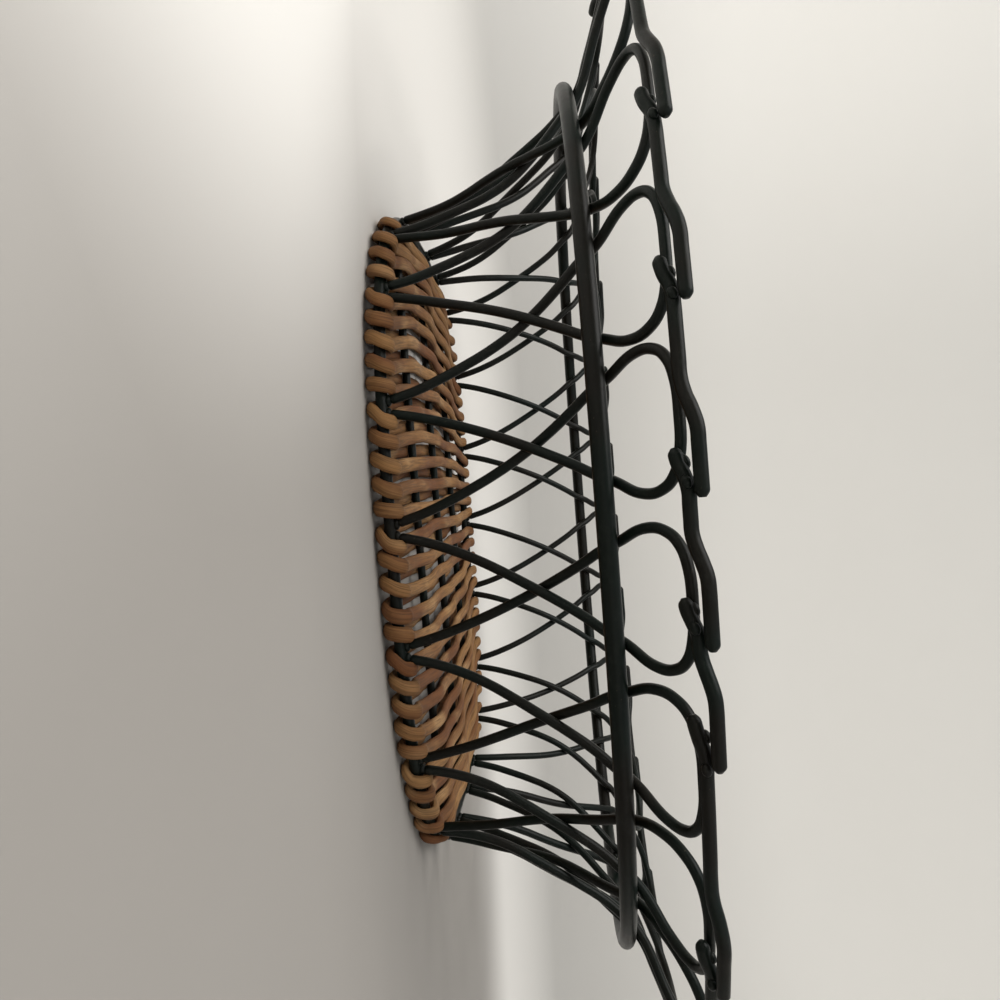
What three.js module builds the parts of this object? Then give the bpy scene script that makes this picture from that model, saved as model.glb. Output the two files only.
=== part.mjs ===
// A shallow oval basket. Its base is one long wicker strand, wound to and fro over and under an
// oval wire ring and three lengthwise stakes. Hairpin wires stand on the ring, cross their own two
// legs, pass inside a heavy oval hoop and flare out as round loops. A chain of wire scrolls
// runs along the tips of the loops.
// Millimetres, +Z up. The origin is on the resting plane, under the middle of the base.
import * as THREE from "three";

// Wires and strand, by diameter
const RING_WIRE = 2.6;
const STAKE_WIRE = 2;
const HAIRPIN_WIRE = 2.1;
const HOOP_WIRE = 3.8;
const SCROLL_WIRE = 2.6;
const STRAND_WIDTH = 2.9;
const STRAND_THICKNESS = 1.7;
const SEAT_GAP = 0.3;

// Ovals, measured on the wires' centre lines; power 2 is an ellipse, more is boxier
const BASE_LENGTH = 164;
const BASE_WIDTH = 126;
const BASE_OVAL_POWER = 2.8;
const HOOP_LENGTH = 221;
const HOOP_WIDTH = 157;
const HOOP_OVAL_POWER = 2.4;
const RIM_LENGTH = 286;
const RIM_WIDTH = 186;
const RIM_OVAL_POWER = 2.4;
const BASE_TO_HOOP = 44;
const HOOP_TO_RIM = 15;

// Wicker rows, which run across the base and bow outwards, and the stakes that they pass over or
// under
const ROW_PITCH = 2.6;
const ROW_BOW_SHARE = 0.25;
const END_MARGIN = 6;
const STAKE_COUNT = 3;
const REST_CUT = 0.05;

// Hairpins
const HAIRPIN_COUNT = 22;
const PATTERN_SHIFT = -2.4;
const NECK_WIDTH = 19;
const LOOP_WIDTH = 25;
const LOOP_WIDEST_SHARE = 0.45;
const LOOP_OVAL_POWER = 2.8;
const TIP_INSET = 3.6;
const STRAIGHT_FOOT = 4.8;
const LEG_SWEEP_SHARE = 0.15;
const CROSSING_RISE_SHARE = 0.04;
const CROSSING_REACH_SHARE = 0.35;
const WALL_BOW = 4;

// How far some loops lean along the rim, by their place in the round of hairpins
const LOOP_LEANS = new Map([
  [12, -0.8],
  [13, -2],
  [14, -3],
  [15, -2.5],
  [16, -3],
  [18, 1.2],
  [19, 2],
  [20, 1],
]);

// Rim scrolls, one to each hairpin. Each starts a little past the middle of its loop, or further
// on or back where it is shifted, and ends outside the start of the next.
const SCROLL_START = 3;
const SCROLL_SHIFTS = new Map([
  [16, 2.5],
  [17, -4.5],
  [18, -15],
  [19, -4],
]);
const SCROLL_OVERLAP = 8;
const SCROLL_PROUD = 2.1;
const SCROLL_TUCK = 1.8;
const TUCK_RUN = 6.5;
const JOG_RUN = 9;

// Facets
const WIRE_SIDES = 5;
const HOOP_SIDES = 8;
const RING_SIDES = 6;
const HOOP_SEGMENTS = 88;
const RING_SEGMENTS = 96;
const SCROLL_STEPS = 10;
const ARC_DIVISIONS = 2000;

// Repeats of the searches for a point on an oval and for a foot's place
const MEET_HALVINGS = 40;
const SETTLE_ROUNDS = 30;

const UP = new THREE.Vector3(0, 0, 1);
const ALONG = new THREE.Vector3(1, 0, 0);
const NEAR = -1;
const FAR = 1;

const RING_WRAP = (RING_WIRE + STRAND_THICKNESS) / 2 + SEAT_GAP;
const STAKE_LIFT = (STAKE_WIRE + STRAND_THICKNESS) / 2 + SEAT_GAP;
const RING_HEIGHT = RING_WRAP + STRAND_THICKNESS / 2;
const HOOP_HEIGHT = RING_HEIGHT + BASE_TO_HOOP;
const RIM_HEIGHT = HOOP_HEIGHT + HOOP_TO_RIM;
const KNEE_OFFSET = (HOOP_WIRE + HAIRPIN_WIRE) / 2 + SEAT_GAP;
const FOOT_OFFSET = (HAIRPIN_WIRE + SEAT_GAP) / 2;
const STRAND_EASE = 3 * STRAND_THICKNESS;
const WRAP_ANGLES = [67.5, 22.5, -22.5, -67.5];
const WRAP_FLAT = RING_WRAP * Math.tan(Math.PI / 8);
const WRAP_RADIUS = RING_WRAP / Math.cos(Math.PI / 8);
const ARCH_ANGLES = [0, 22.5, 45, 67.5, 90, 112.5, 135, 157.5, 180];

const COATING = { color: 0x1b2420, roughness: 0.42, metalness: 0.55 };
const WICKER = { color: 0x9a7049, roughness: 0.82, metalness: 0 };

// A level oval whose points come by their share of the way round
class Oval extends THREE.Curve {
  constructor(length, width, power, height) {
    super();
    this.halfLength = length / 2;
    this.halfWidth = width / 2;
    this.power = power;
    this.height = height;
    this.arcLengthDivisions = ARC_DIVISIONS;
  }

  // 1 on the line, less inside it, more outside it
  reach(x, y) {
    const lengthwise = Math.abs(x / this.halfLength) ** this.power;
    return lengthwise + Math.abs(y / this.halfWidth) ** this.power;
  }

  getPoint(share, target = new THREE.Vector3()) {
    const angle = 2 * Math.PI * share;
    const radius = this.reach(Math.cos(angle), Math.sin(angle)) ** (-1 / this.power);
    return target.set(radius * Math.cos(angle), radius * Math.sin(angle), this.height);
  }

  outward(point) {
    const slopePower = this.power - 1;
    const x = (Math.sign(point.x) * Math.abs(point.x / this.halfLength) ** slopePower) / this.halfLength;
    const y = (Math.sign(point.y) * Math.abs(point.y / this.halfWidth) ** slopePower) / this.halfWidth;
    return new THREE.Vector3(x, y, 0).normalize();
  }

  // The half width of the oval where it is cut across at x
  widthAt(x) {
    return this.halfWidth * (1 - Math.abs(x / this.halfLength) ** this.power) ** (1 / this.power);
  }

  lengthAt(y) {
    return this.halfLength * (1 - Math.abs(y / this.halfWidth) ** this.power) ** (1 / this.power);
  }

  // Where a level line from a point meets the oval
  meet(from, direction, farthest) {
    const startsInside = this.reach(from.x, from.y) < 1;
    let near = 0;
    let far = farthest;
    for (let halving = 0; halving < MEET_HALVINGS; halving += 1) {
      const middle = (near + far) / 2;
      const inside = this.reach(from.x + direction.x * middle, from.y + direction.y * middle) < 1;
      if (inside === startsInside) near = middle;
      else far = middle;
    }
    return from.clone().addScaledVector(direction, near).setZ(this.height);
  }
}

// A path through chosen stations. Where it is given the direction across its section at each
// station, the section keeps to it, and is mitred where the path bends.
class StationPath extends THREE.Curve {
  constructor(stations, across = null) {
    super();
    this.stations = stations;
    this.across = across;
  }

  getSpacedPoints() {
    return this.stations;
  }

  getTangentAt(share, target = new THREE.Vector3()) {
    const last = this.stations.length - 1;
    const index = Math.round(share * last);
    const before = this.stations[Math.max(index - 1, 0)];
    const here = this.stations[index];
    const after = this.stations[Math.min(index + 1, last)];
    const arriving = here.clone().sub(before).normalize();
    return target.copy(after).sub(here).normalize().add(arriving).normalize();
  }

  computeFrenetFrames(segments, closed) {
    if (!this.across) return super.computeFrenetFrames(segments, closed);
    const tangents = this.stations.map((_, index) => this.getTangentAt(index / segments));
    const normals = this.across.map((direction, index) => {
      const tangent = tangents[index];
      return direction.clone().addScaledVector(tangent, -direction.dot(tangent)).normalize();
    });
    const binormals = tangents.map((tangent, index) => {
      const next = this.stations[Math.min(index + 1, segments)];
      const run = next.clone().sub(this.stations[Math.min(index, segments - 1)]);
      const bendOnly = run.addScaledVector(normals[index], -run.dot(normals[index])).normalize();
      return tangent.clone().cross(normals[index]).divideScalar(bendOnly.dot(tangent));
    });
    return { tangents, normals, binormals };
  }
}

function polygon(radius, sides) {
  const corners = Array.from({ length: sides }, (_, index) => {
    const angle = (2 * Math.PI * index) / sides;
    return new THREE.Vector2(radius * Math.cos(angle), radius * Math.sin(angle));
  });
  return new THREE.Shape(corners);
}

function sweep(section, path) {
  const steps = path.stations.length - 1;
  return new THREE.ExtrudeGeometry(section, { steps, extrudePath: path, bevelEnabled: false });
}

function wire(diameter, stations) {
  return sweep(polygon(diameter / 2, WIRE_SIDES), new StationPath(stations));
}

function piece(name, geometry, finish) {
  const mesh = new THREE.Mesh(geometry, new THREE.MeshStandardMaterial(finish));
  mesh.name = name;
  return mesh;
}

const baseLine = new Oval(BASE_LENGTH, BASE_WIDTH, BASE_OVAL_POWER, RING_HEIGHT);
const hoopLine = new Oval(HOOP_LENGTH, HOOP_WIDTH, HOOP_OVAL_POWER, HOOP_HEIGHT);
const rimLine = new Oval(RIM_LENGTH, RIM_WIDTH, RIM_OVAL_POWER, RIM_HEIGHT);
const hoopRound = hoopLine.getLength();

// The wall at one turn round the hoop, which is a share of its length from the +X end. A line
// square to the hoop meets the base ring at the foot and the rim at the tip. A hairpin rises
// from the foot, bends round the inside of the hoop and flares straight to the tip.
function wallAt(turn) {
  const hoopPoint = hoopLine.getPointAt(turn - Math.floor(turn));
  const outward = hoopLine.outward(hoopPoint);
  const foot = baseLine.meet(hoopPoint, outward.clone().negate(), BASE_WIDTH / 2);
  const tip = rimLine.meet(hoopPoint, outward, RIM_LENGTH / 2);
  const innerSide = (from, to) => {
    const run = to.clone().sub(from).normalize();
    return outward.clone().multiplyScalar(-run.z).addScaledVector(UP, run.dot(outward));
  };
  const riseInner = innerSide(foot, hoopPoint);
  const flareInner = innerSide(hoopPoint, tip);
  const riseKnee = hoopPoint.clone().addScaledVector(riseInner, KNEE_OFFSET);
  const flareKnee = hoopPoint.clone().addScaledVector(flareInner, KNEE_OFFSET);
  return { foot, tip, riseInner, flareInner, riseKnee, flareKnee };
}

// A point on the rise, by its share of the way from foot to hoop, moved to the inner side. The
// rise is bowed inwards, most of all at mid height.
function onRise(turn, share, inwards = 0) {
  const wall = wallAt(turn);
  const bow = WALL_BOW * 4 * share * (1 - share);
  return wall.foot.clone().lerp(wall.riseKnee, share).addScaledVector(wall.riseInner, inwards + bow);
}

// A point on the flare, by its distance short of the tip, moved to the inner side
function onFlare(turn, inset, inwards = 0) {
  const wall = wallAt(turn);
  const run = wall.tip.clone().sub(wall.flareKnee).normalize();
  return wall.tip.clone().addScaledVector(run, -inset).addScaledVector(wall.flareInner, inwards);
}

function flareLength(turn) {
  const wall = wallAt(turn);
  return wall.tip.distanceTo(wall.flareKnee);
}

// Rows of wicker are numbered from the middle of the base. An even row passes over the ring and
// the stakes and an odd row under them, so between two even rows the tops of the wires are bare.
const lastRow = 2 * Math.floor(((BASE_LENGTH / 2 - END_MARGIN) / ROW_PITCH - 1) / 2) + 1;
const lastRowX = lastRow * ROW_PITCH;

// Where a row lies at a distance y from the middle line. It bows outwards, less near the ends.
function rowX(row, y) {
  const x = row * ROW_PITCH;
  const lengthwise = 1 - (x / baseLine.halfLength) ** 2;
  const crosswise = 1 - (y / baseLine.widthAt(x)) ** 2;
  return x * (1 + ROW_BOW_SHARE * lengthwise ** 2 * crosswise);
}

// Two feet of neighbouring hairpins stand side by side on the ring. Their place is moved to the
// nearest bare length of ring between two rows, or stays where no row reaches.
function settleFeet(turn) {
  const wantedX = wallAt(turn).foot.x;
  if (Math.abs(wantedX) > lastRowX) return turn;
  const bareX = ROW_PITCH * (2 * Math.round((wantedX / ROW_PITCH - 1) / 2) + 1);
  let settled = turn;
  const step = 0.25 / HAIRPIN_COUNT;
  for (let round = 0; round < SETTLE_ROUNDS; round += 1) {
    const slope = (wallAt(settled + step / 4).foot.x - wallAt(settled - step / 4).foot.x) / (step / 2);
    const change = (bareX - wallAt(settled).foot.x) / slope;
    settled += THREE.MathUtils.clamp(change, -step, step);
  }
  return settled;
}

// Feet, by the turns of the left and the right foot of each pair
const footPairs = Array.from({ length: HAIRPIN_COUNT }, (_, index) => {
  const turn = settleFeet((index - 0.5) / HAIRPIN_COUNT + PATTERN_SHIFT / hoopRound);
  const sample = 0.01 / HAIRPIN_COUNT;
  const apart = wallAt(turn + sample).foot.distanceTo(wallAt(turn - sample).foot);
  const half = (FOOT_OFFSET * 2 * sample) / apart;
  return { turn, point: wallAt(turn).foot, left: turn - half, right: turn + half };
});

// One leg, from its foot to its neck inside the hoop. One leg of a hairpin passes on the inner
// side of the other where they cross.
function legStations(footTurn, neckTurn, side) {
  const rise = wallAt(footTurn);
  const riseLength = rise.foot.distanceTo(rise.riseKnee);
  const footShare = (RING_WIRE / 2 + SEAT_GAP) / riseLength;
  const straightShare = STRAIGHT_FOOT / riseLength;
  const crossing = (1 + straightShare) / 2 + CROSSING_RISE_SHARE;
  const shares = [
    footShare,
    straightShare,
    (straightShare + crossing) / 2,
    crossing,
    (crossing + 1) / 2,
    1,
  ];
  return shares.map((share) => {
    const along = Math.max(0, (share - straightShare) / (1 - straightShare));
    const swept = THREE.MathUtils.lerp(along, THREE.MathUtils.smoothstep(along, 0, 1), LEG_SWEEP_SHARE);
    const nearness = Math.min(1, Math.abs(share - crossing) / CROSSING_REACH_SHARE);
    const inwards = side * FOOT_OFFSET * Math.cos((nearness * Math.PI) / 2) ** 2;
    return onRise(THREE.MathUtils.lerp(footTurn, neckTurn, swept), share, inwards);
  });
}

// The turn of the middle of a loop
function loopCentre(index) {
  const lean = LOOP_LEANS.get(index % HAIRPIN_COUNT) ?? 0;
  return index / HAIRPIN_COUNT + (PATTERN_SHIFT + lean) / hoopRound;
}

function hairpin(index) {
  const centre = loopCentre(index);
  const turnAt = (along) => centre + along / hoopRound;
  const neck = NECK_WIDTH / 2;
  const widest = LOOP_WIDTH / 2;
  const flare = flareLength(centre) - TIP_INSET;
  const archDepth = flare * (1 - LOOP_WIDEST_SHARE);
  const arch = ARCH_ANGLES.map((degrees) => {
    const angle = THREE.MathUtils.degToRad(degrees);
    const power = 2 / LOOP_OVAL_POWER;
    const along = -widest * Math.sign(Math.cos(angle)) * Math.abs(Math.cos(angle)) ** power;
    const depth = archDepth * Math.abs(Math.sin(angle)) ** power;
    return onFlare(turnAt(along), TIP_INSET + archDepth - depth);
  });
  const left = footPairs[index].right;
  const right = footPairs[(index + 1) % HAIRPIN_COUNT].left + (index + 1 === HAIRPIN_COUNT ? 1 : 0);
  const leftNeck = turnAt(-neck);
  const rightNeck = turnAt(neck);
  const rising = legStations(right, leftNeck, 1);
  const falling = legStations(left, rightNeck, -1).reverse();
  return wire(HAIRPIN_WIRE, [
    ...rising,
    wallAt(leftNeck).flareKnee,
    ...arch,
    wallAt(rightNeck).flareKnee,
    ...falling,
  ]);
}

function scrollStart(index) {
  const shift = SCROLL_SHIFTS.get(index % HAIRPIN_COUNT) ?? 0;
  return loopCentre(index) * hoopRound + SCROLL_START + shift;
}

// One rim scroll. It starts tucked under the tip of its loop, runs just outside the tips as far
// as the next loop, and jogs outwards there to pass round the start of the next scroll.
function scroll(index) {
  const start = scrollStart(index);
  const pitch = scrollStart(index + 1) - start;
  const seat = (SCROLL_WIRE + HAIRPIN_WIRE) / 2 + SEAT_GAP;
  const body = TIP_INSET - SCROLL_PROUD;
  const outside = body - SCROLL_WIRE - SEAT_GAP;
  const jog = pitch - JOG_RUN - SCROLL_PROUD;
  const end = pitch + SCROLL_OVERLAP;
  const stations = Array.from({ length: SCROLL_STEPS + 1 }, (_, step) => {
    const along = (step / SCROLL_STEPS) * end;
    const tucked = 1 - THREE.MathUtils.smoothstep(along, 0, TUCK_RUN);
    const jogged = THREE.MathUtils.smoothstep(along, jog, jog + JOG_RUN);
    const inset = THREE.MathUtils.lerp(body, outside, jogged) + SCROLL_TUCK * tucked;
    const beyondTips = THREE.MathUtils.clamp(TIP_INSET - inset, 0, SCROLL_PROUD);
    const under = Math.sqrt(seat ** 2 - beyondTips ** 2);
    return onFlare((start + along) / hoopRound, inset, -under);
  });
  return wire(SCROLL_WIRE, stations);
}

// Stakes lie lengthwise in the plane of the ring, between its two ends
const stakeYs = Array.from(
  { length: STAKE_COUNT },
  (_, index) => ((index + 1) / (STAKE_COUNT + 1) - 0.5) * BASE_WIDTH,
);

function stakeHalfLength(y) {
  const end = new THREE.Vector3(baseLine.lengthAt(y), y, 0);
  const outward = baseLine.outward(end);
  const corner = Math.abs(outward.y / outward.x) * (STAKE_WIRE / 2);
  return end.x - (RING_WIRE / 2 + SEAT_GAP) / outward.x - corner;
}

function stake(y) {
  const half = stakeHalfLength(y);
  const ends = [-half, half].map((x) => new THREE.Vector3(x, y, RING_HEIGHT));
  return sweep(polygon(STAKE_WIRE / 2, RING_SIDES), new StationPath(ends));
}

// Where a row crosses the ring. An even row is pushed aside by a pair of feet that stands near.
function crossRing(row, side) {
  const ringPoint = (x) => new THREE.Vector3(x, side * baseLine.widthAt(x), RING_HEIGHT);
  const x = row * ROW_PITCH;
  if (row % 2 !== 0) return ringPoint(x);
  const clear = FOOT_OFFSET + HAIRPIN_WIRE / 2 + SEAT_GAP + STRAND_WIDTH / 2;
  const point = ringPoint(x);
  const crowding = footPairs.find((pair) => pair.point.distanceTo(point) < clear);
  if (!crowding) return point;
  const push = clear - crowding.point.distanceTo(point);
  const across = Math.abs(baseLine.outward(point).y);
  return ringPoint(x + Math.sign(x - crowding.point.x) * push * across);
}

// The strand's stations in one row, from its first ring crossing to its last. A row that was
// pushed aside at the ring is back on its line a little way in.
function rowStations(row) {
  const x = row * ROW_PITCH;
  const even = row % 2 === 0;
  const level = even ? 1 : -1;
  const [first, last] = (even ? [NEAR, FAR] : [FAR, NEAR]).map((side) => crossRing(row, side));
  const inside = (crossing) => {
    const inner = crossing.clone().addScaledVector(baseLine.outward(crossing), -WRAP_FLAT);
    return inner.addScaledVector(UP, level * RING_WRAP);
  };
  const relaxed = (crossing) => {
    const y = crossing.y - Math.sign(crossing.y) * STRAND_EASE;
    return new THREE.Vector3(rowX(row, y), y, RING_HEIGHT + level * RING_WRAP);
  };
  const pushed = (crossing) => Math.abs(crossing.x - x) > SEAT_GAP;
  const room = baseLine.widthAt(x) - STRAND_EASE;
  const crossings = stakeYs
    .filter((y) => Math.abs(rowX(row, y)) < stakeHalfLength(y) + STRAND_WIDTH && Math.abs(y) < room)
    .map((y) => new THREE.Vector3(rowX(row, y), y, RING_HEIGHT + level * STAKE_LIFT));
  if (!even) crossings.reverse();
  return [
    inside(first),
    ...(pushed(first) ? [relaxed(first)] : []),
    ...crossings,
    ...(pushed(last) ? [relaxed(last)] : []),
    inside(last),
  ];
}

// Half a wrap round the ring, from a row's crossing down or up to the next row's
function wrapStations(from, to, startsOver) {
  const sign = startsOver ? 1 : -1;
  return WRAP_ANGLES.map((degrees) => {
    const angle = THREE.MathUtils.degToRad(sign * degrees);
    const crossing = degrees > 0 ? from : to;
    return crossing
      .clone()
      .addScaledVector(baseLine.outward(crossing), WRAP_RADIUS * Math.cos(angle))
      .addScaledVector(UP, WRAP_RADIUS * Math.sin(angle));
  });
}

// The strand rests on its turns under the ring, which are cut to one level plane.
function cutToRest(geometry) {
  const corners = geometry.getAttribute("position");
  for (let index = 0; index < corners.count; index += 1) {
    if (corners.getZ(index) < REST_CUT) corners.setZ(index, 0);
  }
  return geometry;
}

function weaver() {
  const stations = [];
  const across = [];
  const add = (points, direction) => {
    stations.push(...points);
    across.push(...points.map(direction));
  };
  const alongRing = (point) => {
    const outward = baseLine.outward(point);
    const tangent = new THREE.Vector3(-outward.y, outward.x, 0);
    return tangent.multiplyScalar(Math.sign(tangent.x));
  };
  const tuck = (row, side) => {
    const crossing = crossRing(row, side);
    const under = crossing.clone().addScaledVector(baseLine.outward(crossing), RING_WIRE / 2);
    return under.addScaledVector(UP, -RING_WRAP);
  };
  add([tuck(-lastRow, FAR)], alongRing);
  for (let row = -lastRow; row <= lastRow; row += 1) {
    const points = rowStations(row);
    add([points[0]], alongRing);
    add(points.slice(1, -1), () => ALONG.clone());
    add([points[points.length - 1]], alongRing);
    if (row === lastRow) break;
    const side = row % 2 === 0 ? FAR : NEAR;
    add(wrapStations(crossRing(row, side), crossRing(row + 1, side), row % 2 === 0), alongRing);
  }
  add([tuck(lastRow, NEAR)], alongRing);
  const width = STRAND_WIDTH / 2;
  const thick = STRAND_THICKNESS / 2;
  const corners = [
    [width, thick],
    [-width, thick],
    [-width, -thick],
    [width, -thick],
  ];
  const section = new THREE.Shape(corners.map(([x, y]) => new THREE.Vector2(x, y)));
  return cutToRest(sweep(section, new StationPath(stations, across)));
}

const basket = new THREE.Group();
const ringTube = new THREE.TubeGeometry(baseLine, RING_SEGMENTS, RING_WIRE / 2, RING_SIDES, true);
const hoopTube = new THREE.TubeGeometry(hoopLine, HOOP_SEGMENTS, HOOP_WIRE / 2, HOOP_SIDES, true);
basket.add(piece("base_ring", ringTube, COATING));
basket.add(piece("oval_hoop", hoopTube, COATING));
stakeYs.forEach((y, index) => basket.add(piece("base_stake_" + (index + 1), stake(y), COATING)));
for (let index = 0; index < HAIRPIN_COUNT; index += 1) {
  basket.add(piece("hairpin_wire_" + (index + 1), hairpin(index), COATING));
}
for (let index = 0; index < HAIRPIN_COUNT; index += 1) {
  basket.add(piece("rim_scroll_" + (index + 1), scroll(index), COATING));
}
basket.add(piece("wicker_weaver", weaver(), WICKER));

export default basket;
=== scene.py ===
# %% [markdown]
# # A basket of welded wire with a wound cane base
#
# The basket stands on a base of brown cane, wound round an oval ring of wire. Thin hairpin wires
# rise from the ring, cross each other, pass inside a heavy oval hoop and open out as round loops.
# A chain of short curved wires runs along the tips of the loops.
#
# The imported model gives the place and size of every piece, with few facets. This lesson makes
# each piece again with smooth surfaces and a finish, in the same place. It starts by loading the
# imported model and printing its box.

# %% Load the imported model
import math
import random

import bpy
import numpy as np
from mathutils import Matrix, Vector


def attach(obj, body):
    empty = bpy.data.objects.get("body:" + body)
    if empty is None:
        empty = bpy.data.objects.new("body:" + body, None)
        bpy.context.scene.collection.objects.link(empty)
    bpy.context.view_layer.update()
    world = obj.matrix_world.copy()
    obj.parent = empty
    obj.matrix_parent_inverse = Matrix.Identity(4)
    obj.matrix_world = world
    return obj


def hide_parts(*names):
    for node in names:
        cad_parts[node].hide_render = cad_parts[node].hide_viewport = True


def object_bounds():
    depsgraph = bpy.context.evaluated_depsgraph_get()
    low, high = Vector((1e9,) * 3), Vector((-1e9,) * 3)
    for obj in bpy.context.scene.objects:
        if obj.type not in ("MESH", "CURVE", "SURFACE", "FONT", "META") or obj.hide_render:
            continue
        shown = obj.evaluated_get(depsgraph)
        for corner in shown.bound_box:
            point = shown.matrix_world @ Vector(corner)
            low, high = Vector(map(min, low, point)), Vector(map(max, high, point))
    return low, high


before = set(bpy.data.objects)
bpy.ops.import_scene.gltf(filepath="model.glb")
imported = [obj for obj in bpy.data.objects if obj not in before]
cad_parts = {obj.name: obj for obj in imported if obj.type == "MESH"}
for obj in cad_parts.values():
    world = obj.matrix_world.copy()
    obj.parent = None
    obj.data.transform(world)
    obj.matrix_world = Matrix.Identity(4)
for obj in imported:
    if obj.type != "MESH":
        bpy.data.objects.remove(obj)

cad_low, cad_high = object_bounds()
packed_box = [round(1000 * v) for v in cad_high - cad_low]
print("packed nodes:", len(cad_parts), "box in mm:", packed_box)

# %% [markdown]
# ## Sizes
#
# The basket is drawn from a few sizes: the diameters of its wires, and three level ovals that
# give the middle lines of the base ring, the hoop and the rim. Every other place follows from
# them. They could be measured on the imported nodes, but the nodes give only boxes, while the
# sizes give every bend. An oval's power is 2 for an ellipse and more for a boxier shape. A few
# loops lean along the rim, and a few scrolls start further on or back, as hand work leaves them.
# These are given in millimetres by their place in the round. The rows of cane bow outwards, and
# the bow fades towards both ends of the base by the two powers.

# %% The driving sizes
MM = 0.001

RING_WIRE = 2.6 * MM
STAKE_WIRE = 2 * MM
HAIRPIN_WIRE = 2.1 * MM
HOOP_WIRE = 3.8 * MM
SCROLL_WIRE = 2.6 * MM
STRAND_WIDTH = 2.9 * MM
STRAND_THICKNESS = 1.7 * MM
SEAT_GAP = 0.3 * MM

BASE_LENGTH, BASE_WIDTH, BASE_OVAL_POWER = 164 * MM, 126 * MM, 2.8
HOOP_LENGTH, HOOP_WIDTH, HOOP_OVAL_POWER = 221 * MM, 157 * MM, 2.4
RIM_LENGTH, RIM_WIDTH, RIM_OVAL_POWER = 286 * MM, 186 * MM, 2.4
BASE_TO_HOOP = 44 * MM
HOOP_TO_RIM = 15 * MM

ROW_PITCH = 2.6 * MM
ROW_BOW_SHARE = 0.2
ROW_FADE_POWERS = (4, 1.5)
END_MARGIN = 6 * MM
STAKE_COUNT = 3

HAIRPIN_COUNT = 22
PATTERN_SHIFT = -2.4 * MM
NECK_WIDTH = 19 * MM
LOOP_WIDTH = 25 * MM
LOOP_WIDEST_SHARE = 0.45
LOOP_OVAL_POWER = 2.8
TIP_INSET = 3.6 * MM
STRAIGHT_FOOT = 4.8 * MM
CROSSING_RISE_SHARE = 0.04
CROSSING_REACH_SHARE = 0.35
WALL_BOW = 4 * MM
LOOP_LEANS = {12: -0.8, 13: -2, 14: -3, 15: -2.5, 16: -3, 18: 1.2, 19: 2, 20: 1}

SCROLL_START = 3 * MM
SCROLL_SHIFTS = {16: 2.5, 17: -4.5, 18: -15, 19: -4}
SCROLL_OVERLAP = 8 * MM
SCROLL_PROUD = 2.1 * MM
SCROLL_TUCK = 1.8 * MM
TUCK_RUN = 6.5 * MM
JOG_RUN = 9 * MM

ARC_DIVISIONS = 2000
MEET_HALVINGS = 40
SETTLE_ROUNDS = 30
ALONG = np.array([1.0, 0.0, 0.0])
ACROSS = np.array([0.0, 1.0, 0.0])
UP = np.array([0.0, 0.0, 1.0])
NEAR, FAR = -1, 1

RING_WRAP = (RING_WIRE + STRAND_THICKNESS) / 2 + SEAT_GAP
STAKE_LIFT = (STAKE_WIRE + STRAND_THICKNESS) / 2 + SEAT_GAP
RING_HEIGHT = RING_WRAP + STRAND_THICKNESS / 2
HOOP_HEIGHT = RING_HEIGHT + BASE_TO_HOOP
RIM_HEIGHT = HOOP_HEIGHT + HOOP_TO_RIM
KNEE_OFFSET = (HOOP_WIRE + HAIRPIN_WIRE) / 2 + SEAT_GAP
FOOT_OFFSET = (HAIRPIN_WIRE + SEAT_GAP) / 2
STRAND_EASE = 3 * STRAND_THICKNESS
heights = [round(height / MM, 2) for height in (RING_HEIGHT, HOOP_HEIGHT, RIM_HEIGHT)]
print("heights of ring, hoop and rim in mm:", heights)

# %% [markdown]
# ## The three ovals
#
# A maker bends the ring and the hoop round a former. Here an oval is a small class that knows its
# outline, the direction square to it, and where a straight line meets it. Points are asked for by
# their share of the way round, so that the hairpins stand at even steps along the hoop.

# %% The ovals
class Oval:
    """A level oval. Its points are found by their share of the way round."""

    def __init__(self, length, width, power, height):
        self.half_length = length / 2
        self.half_width = width / 2
        self.power = power
        self.height = height
        self.shares = np.linspace(0, 1, ARC_DIVISIONS + 1)
        points = np.array([self.by_angle(share) for share in self.shares])
        steps = np.linalg.norm(np.diff(points, axis=0), axis=1)
        self.run = np.concatenate([[0], np.cumsum(steps)])
        self.round = self.run[-1]

    def reach(self, x, y):
        """1 on the line, less inside it and more outside it."""
        return abs(x / self.half_length) ** self.power + abs(y / self.half_width) ** self.power

    def by_angle(self, share):
        angle = 2 * math.pi * share
        radius = self.reach(math.cos(angle), math.sin(angle)) ** (-1 / self.power)
        return np.array([radius * math.cos(angle), radius * math.sin(angle), self.height])

    def at(self, turn):
        return self.by_angle(np.interp((turn % 1) * self.round, self.run, self.shares))

    def outward(self, point):
        slope_power = self.power - 1
        x = np.sign(point[0]) * abs(point[0] / self.half_length) ** slope_power / self.half_length
        y = np.sign(point[1]) * abs(point[1] / self.half_width) ** slope_power / self.half_width
        return unit(np.array([x, y, 0.0]))

    def width_at(self, x):
        return self.half_width * (1 - abs(x / self.half_length) ** self.power) ** (1 / self.power)

    def length_at(self, y):
        return self.half_length * (1 - abs(y / self.half_width) ** self.power) ** (1 / self.power)

    def meet(self, start, direction, farthest):
        """Where a level line from start meets the oval."""
        starts_inside = self.reach(start[0], start[1]) < 1
        near, far = 0.0, farthest
        for _ in range(MEET_HALVINGS):
            middle = (near + far) / 2
            place = start + direction * middle
            inside = self.reach(place[0], place[1]) < 1
            near, far = (middle, far) if inside == starts_inside else (near, middle)
        met = start + direction * near
        return np.array([met[0], met[1], self.height])


def unit(vector):
    return vector / np.linalg.norm(vector)


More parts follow.
